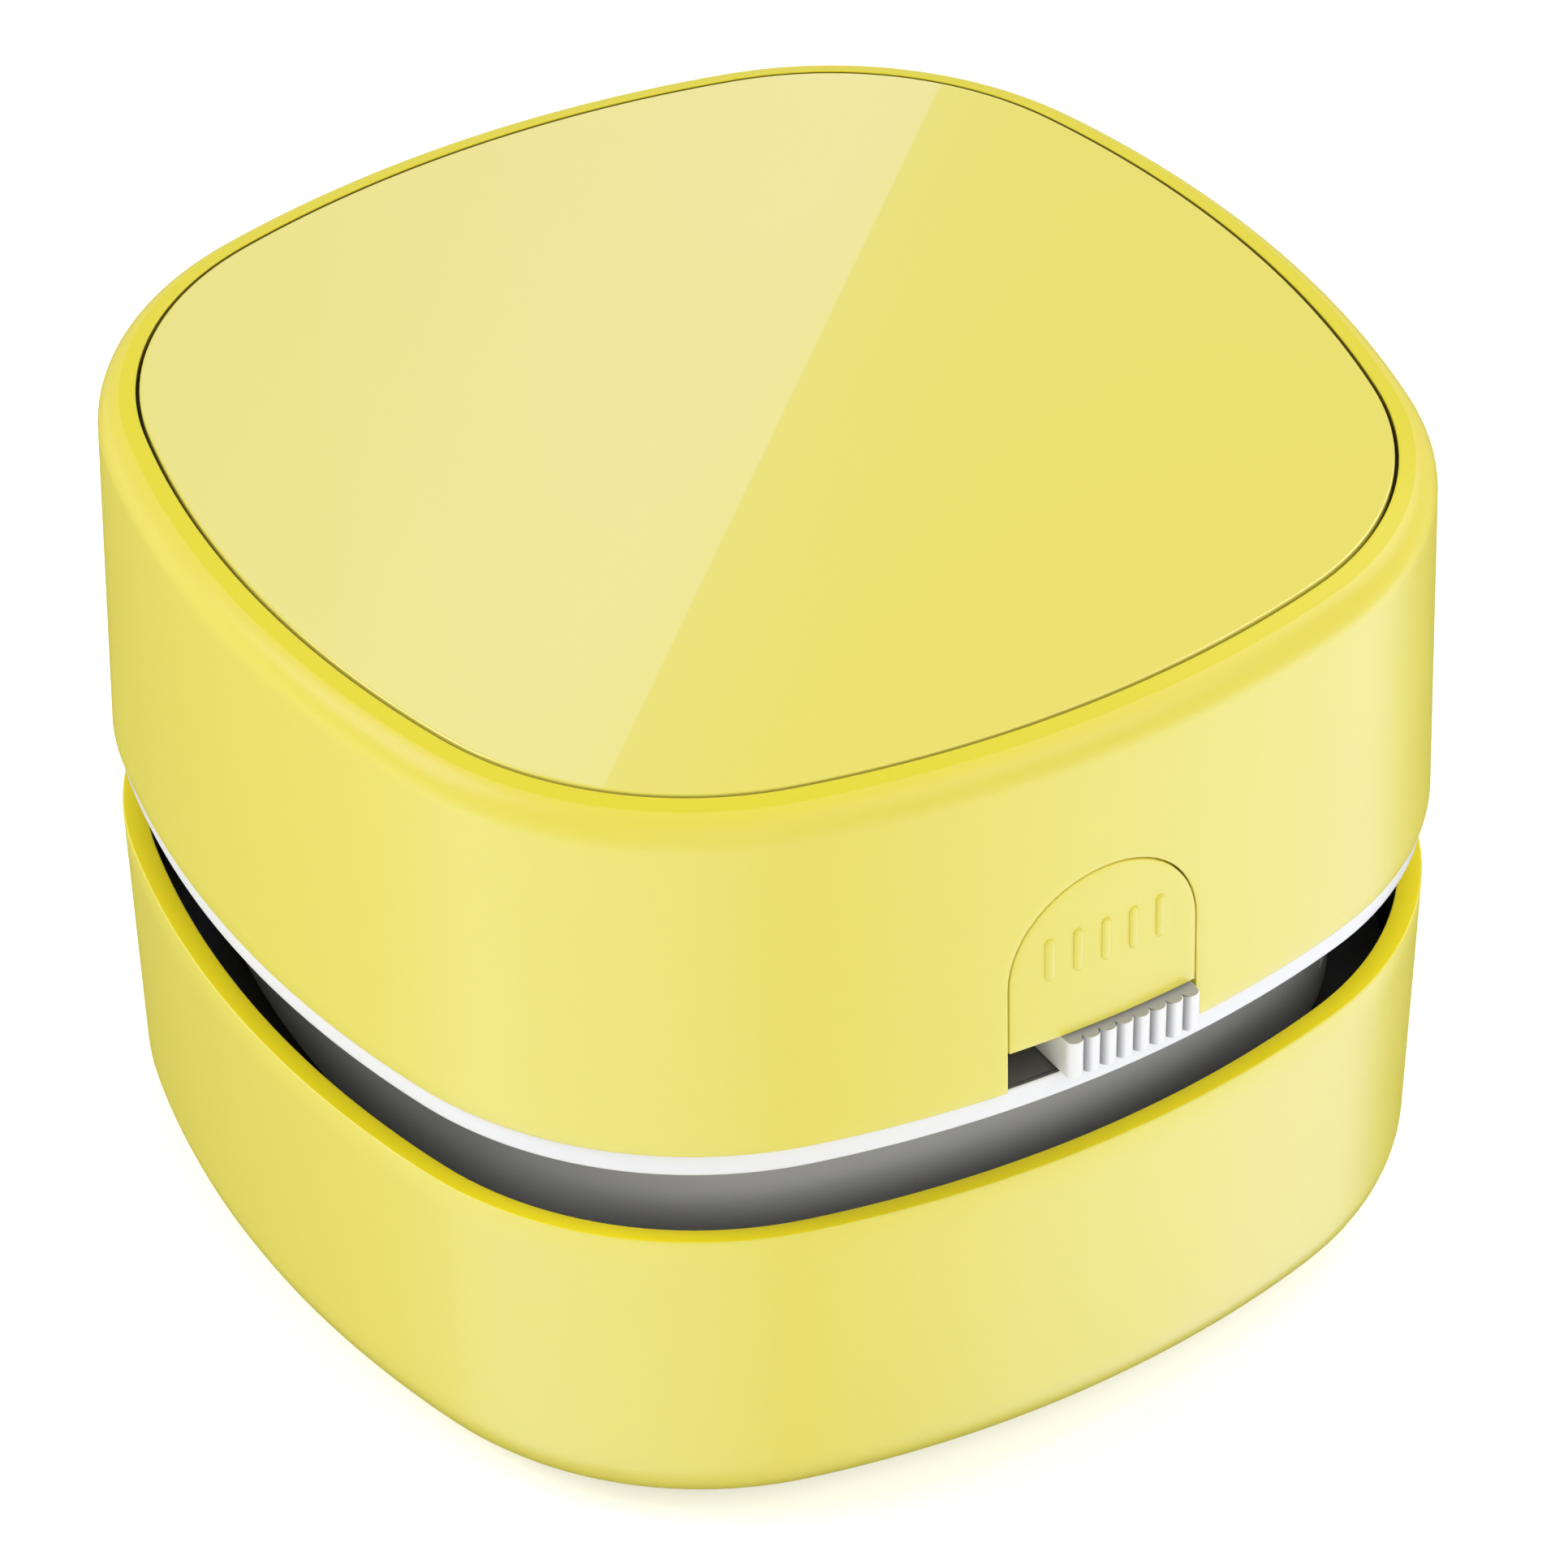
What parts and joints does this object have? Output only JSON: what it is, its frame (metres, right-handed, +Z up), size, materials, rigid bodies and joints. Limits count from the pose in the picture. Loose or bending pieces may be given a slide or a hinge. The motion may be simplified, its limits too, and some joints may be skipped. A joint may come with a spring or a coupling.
{
  "type": "desktop vacuum cleaner",
  "caption": "Small square desk vacuum: dust bin with floor intake and brush, waist exhaust, motor core, lift-off cover over cells, release tab and sliding switch",
  "frame": {"origin": "On the desk, under the middle of the square housing", "axes": "+Z up, -Y the front with the release tab and power slider, +X to the right seen from the front"},
  "size_m": [0.084, 0.0848, 0.0602],
  "materials": {
    "yellow_shell": "satin-gloss moulded",
    "yellow_gloss": "high gloss",
    "white_trim": "satin-gloss moulded",
    "black_plastic": "fine moulded matt",
    "dark_plastic": "fine moulded matt",
    "white_plastic": "plain moulded",
    "soft_rubber": "soft matt",
    "bristle": "nylon filament",
    "screw_steel": "zinc plated",
    "mesh_cloth": "woven nylon mesh",
    "can_steel": "drawn and plated",
    "magnet": "sintered ferrite",
    "terminal_brass": "stamped",
    "cell_jacket": "plain printed foil jacket",
    "contact_metal": "nickel plated",
    "shaft_steel": "ground",
    "rotor_iron": "laminated and varnished",
    "spring_steel": "drawn wire"
  },
  "bodies": {
    "dust_bin": {"bin_housing": "yellow_shell", "seal_deck": "black_plastic", "bin_gasket": "soft_rubber", "intake_nozzle": "black_plastic", "brush_carrier": "dark_plastic", "brush_tufts": "bristle", "base_screws": "screw_steel", "glide_feet": "soft_rubber"},
    "motor_core": {"core_chassis": "dark_plastic", "exhaust_neck": "dark_plastic", "trim_ring": "white_trim", "filter_frame": "white_plastic", "filter_mesh": "mesh_cloth", "motor_can": "can_steel", "motor_magnets": "magnet", "motor_end_cap": "white_plastic", "motor_terminals": "terminal_brass", "motor_screws": "screw_steel", "battery_tray": "dark_plastic", "battery_left": "cell_jacket", "battery_right": "cell_jacket", "contact_plates": "contact_metal", "contact_springs": "contact_metal", "switch_body": "black_plastic"},
    "fan": {"impeller": "white_plastic", "motor_shaft": "shaft_steel", "motor_rotor": "rotor_iron"},
    "power_slider": {"slider_thumb": "white_trim", "switch_lever": "black_plastic"},
    "top_cover": {"cover_shell": "yellow_shell", "top_panel": "yellow_gloss", "tab_guide": "dark_plastic", "tab_spring": "spring_steel"},
    "release_tab": {"release_tab": "yellow_shell"}
  },
  "joints": [
    {"name": "core_lift", "type": "slide", "parent": "dust_bin", "child": "motor_core", "axis": [0, 0, 1], "range_m": [0, 0.03]},
    {"name": "cover_lift", "type": "slide", "parent": "motor_core", "child": "top_cover", "axis": [0, 0, 1], "range_m": [0, 0.03]},
    {"name": "fan_spin", "type": "hinge", "parent": "motor_core", "child": "fan", "pos_m": [0, 0, 0.03], "axis": [0, 0, 1], "continuous": true},
    {"name": "power_slide", "type": "slide", "parent": "motor_core", "child": "power_slider", "axis": [-1, 0, 0], "range_m": [0, 0.0034]},
    {"name": "tab_press", "type": "slide", "parent": "top_cover", "child": "release_tab", "axis": [0, 1, 0], "range_m": [0, 0.0012], "stiffness_N_per_m": 800, "deforming": ["tab_spring"]}
  ]
}
